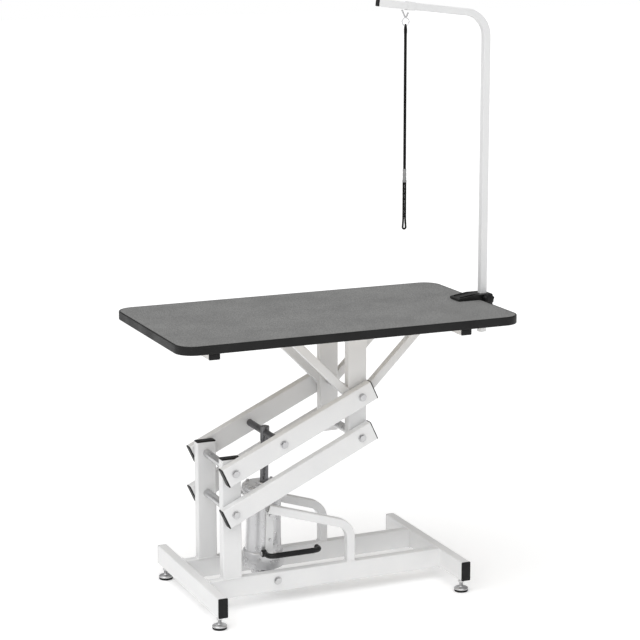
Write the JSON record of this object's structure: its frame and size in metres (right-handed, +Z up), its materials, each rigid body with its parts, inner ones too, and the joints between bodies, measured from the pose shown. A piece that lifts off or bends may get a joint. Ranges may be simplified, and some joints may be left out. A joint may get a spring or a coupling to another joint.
{
  "type": "hydraulic Z-lift grooming table",
  "caption": "Hydraulic pet grooming table: Z-shaped lift on a white tube base, pump with foot pedal, textured top, and a clamped grooming arm with a hanging noose.",
  "frame": {"origin": "on the floor, under the middle of the whole box, leash left out", "axes": "+Z up; +X towards the grooming arm along the top's length; +Y towards the back"},
  "size_m": [1.12, 0.6, 1.7838],
  "materials": {
    "white_powder_coat": "satin powder coat",
    "silver_paint": "satin silver-grey paint",
    "black_plastic": "satin moulded plastic",
    "black_powder_coat": "satin powder coat",
    "zinc_plate": "bright zinc plate",
    "grey_steel": "dark grey oiled steel",
    "grey_rubber_mat": "fine textured non-slip mat",
    "plywood": "plain plywood",
    "black_edging": "satin edging strip",
    "chrome": "polished",
    "black_cord": "braided cord"
  },
  "bodies": {
    "base": {"cross_member_left": "white_powder_coat", "cross_member_right": "white_powder_coat", "base_plug_front_left": "black_plastic", "base_plug_front_right": "black_plastic", "base_plug_back_left": "black_plastic", "base_plug_back_right": "black_plastic", "base_rail_front": "white_powder_coat", "base_rail_back": "white_powder_coat", "lower_post_front": "white_powder_coat", "lower_post_back": "white_powder_coat", "guard_bar_front": "white_powder_coat", "guard_bar_back": "white_powder_coat", "post_plug_front": "black_plastic", "post_plug_back": "black_plastic", "lower_left_shaft": "zinc_plate", "upper_left_shaft": "zinc_plate", "pump_foot_shaft": "zinc_plate"},
    "levelling_foot_front_left": {"foot_front_left": "zinc_plate"},
    "levelling_foot_front_right": {"foot_front_right": "zinc_plate"},
    "levelling_foot_back_left": {"foot_back_left": "zinc_plate"},
    "levelling_foot_back_right": {"foot_back_right": "zinc_plate"},
    "upper_arms": {"upper_arm_front": "white_powder_coat", "upper_arm_back": "white_powder_coat", "lift_crossbar": "grey_steel"},
    "lower_arms": {"lower_arm_front": "white_powder_coat", "lower_arm_back": "white_powder_coat"},
    "table_frame": {"upper_post_front": "white_powder_coat", "upper_post_back": "white_powder_coat", "top_rail_front": "white_powder_coat", "top_rail_back": "white_powder_coat", "brace_front_left": "white_powder_coat", "brace_front_right": "white_powder_coat", "brace_back_left": "white_powder_coat", "brace_back_right": "white_powder_coat", "rail_plug_front_left": "black_plastic", "rail_plug_front_right": "black_plastic", "rail_plug_back_left": "black_plastic", "rail_plug_back_right": "black_plastic", "cross_rail_left": "white_powder_coat", "cross_rail_right": "white_powder_coat", "tabletop_board": "plywood", "tabletop_mat": "grey_rubber_mat", "edge_band": "black_edging", "lower_right_shaft": "zinc_plate", "upper_right_shaft": "zinc_plate", "arm_clamp": "black_powder_coat"},
    "rod": {"pump_rod": "grey_steel"},
    "pump": {"pump_cylinder": "silver_paint", "pump_valve_bar": "white_powder_coat", "pedal_pin": "zinc_plate"},
    "pedal": {"foot_pedal": "black_powder_coat"},
    "screw": {"clamp_screw": "black_plastic"},
    "lock_knob": {"arm_lock_knob": "black_plastic"},
    "pole": {"grooming_arm": "white_powder_coat", "arm_end_plug": "black_plastic"},
    "sliding_eye": {"arm_eye": "zinc_plate"},
    "leash": {"leash_ring": "chrome", "leash_cord": "black_cord", "leash_slider": "chrome", "leash_noose": "black_cord"}
  },
  "joints": [
    {"name": "lift", "type": "hinge", "parent": "base", "child": "upper_arms", "pos_m": [-0.3447, 0, 0.4324], "axis": [0, -1, 0], "range_deg": [-39.86, 10.14]},
    {"name": "lower_lift", "type": "hinge", "parent": "base", "child": "lower_arms", "pos_m": [-0.3447, 0, 0.3075], "axis": [0, -1, 0], "range_deg": [-40.36, 10.64]},
    {"name": "table_level", "type": "hinge", "parent": "upper_arms", "child": "table_frame", "pos_m": [0.05997, 0, 0.6199], "axis": [0, -1, 0], "range_deg": [-10.64, 40.36]},
    {"name": "rod_tilt", "type": "hinge", "parent": "upper_arms", "child": "rod", "pos_m": [-0.19145, 0, 0.50341], "axis": [0, -1, 0], "range_deg": [-9.71, 36.69]},
    {"name": "pump_stroke", "type": "slide", "parent": "rod", "child": "pump", "axis": [-0.0223, 0, -0.9998], "range_m": [-0.113, 0.03]},
    {"name": "pedal_press", "type": "hinge", "parent": "pump", "child": "pedal", "pos_m": [-0.223, -0.07, 0.148], "axis": [1, 0, 0], "range_deg": [0, 22], "stiffness_Nm_per_rad": 2, "springref_deg": -11.46},
    {"name": "foot_turn_front_left", "type": "hinge", "parent": "base", "child": "levelling_foot_front_left", "pos_m": [-0.4315, -0.236, 0.03], "axis": [0, 0, 1], "continuous": true},
    {"name": "foot_turn_front_right", "type": "hinge", "parent": "base", "child": "levelling_foot_front_right", "pos_m": [0.3561, -0.236, 0.03], "axis": [0, 0, 1], "continuous": true},
    {"name": "foot_turn_back_left", "type": "hinge", "parent": "base", "child": "levelling_foot_back_left", "pos_m": [-0.4315, 0.236, 0.03], "axis": [0, 0, 1], "continuous": true},
    {"name": "foot_turn_back_right", "type": "hinge", "parent": "base", "child": "levelling_foot_back_right", "pos_m": [0.3561, 0.236, 0.03], "axis": [0, 0, 1], "continuous": true},
    {"name": "clamp_screw_turn", "type": "hinge", "parent": "table_frame", "child": "screw", "pos_m": [0.475, -0.006, 0.79], "axis": [0, 0, 1], "continuous": true},
    {"name": "lock_knob_turn", "type": "hinge", "parent": "table_frame", "child": "lock_knob", "pos_m": [0.538, -0.045, 0.862], "axis": [0, 1, 0], "continuous": true},
    {"name": "pole_height", "type": "slide", "parent": "table_frame", "child": "pole", "axis": [0, 0, 1], "range_m": [-0.22, 0.045]},
    {"name": "eye_slide", "type": "slide", "parent": "pole", "child": "sliding_eye", "axis": [0.9936, 0, -0.1132], "range_m": [-0.09, 0.17]},
    {"name": "leash_swing", "type": "hinge", "parent": "sliding_eye", "child": "leash", "pos_m": [0.2665, -0.006, 1.73], "axis": [0, 1, 0], "range_deg": [-22, 60]}
  ],
  "couplings": [
    {"joint": "lower_lift", "follows": "lift", "ratio": 1},
    {"joint": "table_level", "follows": "lift", "ratio": -1},
    {"joint": "rod_tilt", "follows": "lift", "ratio": -0.908},
    {"joint": "pump_stroke", "follows": "lift", "m_per_rad": 0.1604}
  ]
}
